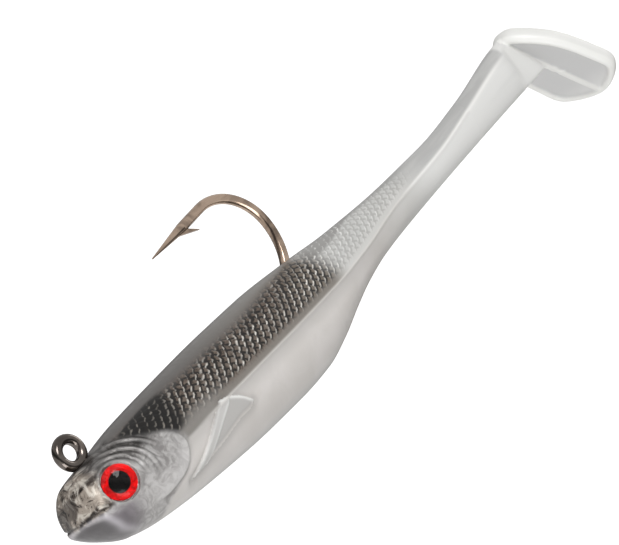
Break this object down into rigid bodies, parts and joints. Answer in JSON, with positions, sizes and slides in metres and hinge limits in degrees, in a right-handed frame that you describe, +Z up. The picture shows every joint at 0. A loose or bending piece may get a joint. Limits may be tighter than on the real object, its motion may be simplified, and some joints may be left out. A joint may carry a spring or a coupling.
{
  "type": "soft swimbait",
  "caption": "Pre-rigged soft paddle-tail swimbait: pour-moulded fish body over a lead head and jig hook, with stick-on eyes.",
  "frame": {"origin": "centre of the line-tie eye, the ring at the front end of the hook wire", "axes": "+X from the nose to the tail, +Y to the fish's right side, along the line-tie's hole, +Z up through the back"},
  "size_m": [0.1253, 0.014, 0.0283],
  "materials": {
    "smoke_soft_plastic": "glossy, translucent smoke",
    "pearl_soft_plastic": "glossy, translucent pearl",
    "clear_soft_plastic": "glossy, milky clear",
    "cast_lead": "as cast, dull",
    "black_nickel_wire": "bronze-tinted black nickel",
    "flash_foil": "crinkled mirror film",
    "red_print": "printed disc",
    "black_print": "printed disc",
    "clear_dome": "clear cast resin"
  },
  "bodies": {
    "trunk": {"back_pour": "smoke_soft_plastic", "belly_pour": "pearl_soft_plastic", "lead_head": "cast_lead", "jig_hook": "black_nickel_wire", "left_flash_foil": "flash_foil", "left_iris": "red_print", "left_pupil": "black_print", "left_eye_dome": "clear_dome", "right_flash_foil": "flash_foil", "right_iris": "red_print", "right_pupil": "black_print", "right_eye_dome": "clear_dome"},
    "rear": {"rear_body": "clear_soft_plastic"},
    "stem": {"tail_stem": "clear_soft_plastic"},
    "paddle": {"paddle_tail": "clear_soft_plastic"}
  },
  "joints": [
    {"name": "rear_flex", "type": "hinge", "parent": "trunk", "child": "rear", "pos_m": [0.057, 0, 0], "axis": [0, 0, 1], "range_deg": [-25, 25], "stiffness_Nm_per_rad": 0.002},
    {"name": "stem_flex", "type": "hinge", "parent": "rear", "child": "stem", "pos_m": [0.08, 0, 0], "axis": [0, 0, 1], "range_deg": [-30, 30], "stiffness_Nm_per_rad": 0.0008},
    {"name": "paddle_flex", "type": "hinge", "parent": "stem", "child": "paddle", "pos_m": [0.1005, 0, 0], "axis": [0, 0, 1], "range_deg": [-40, 40], "stiffness_Nm_per_rad": 0.0004}
  ]
}
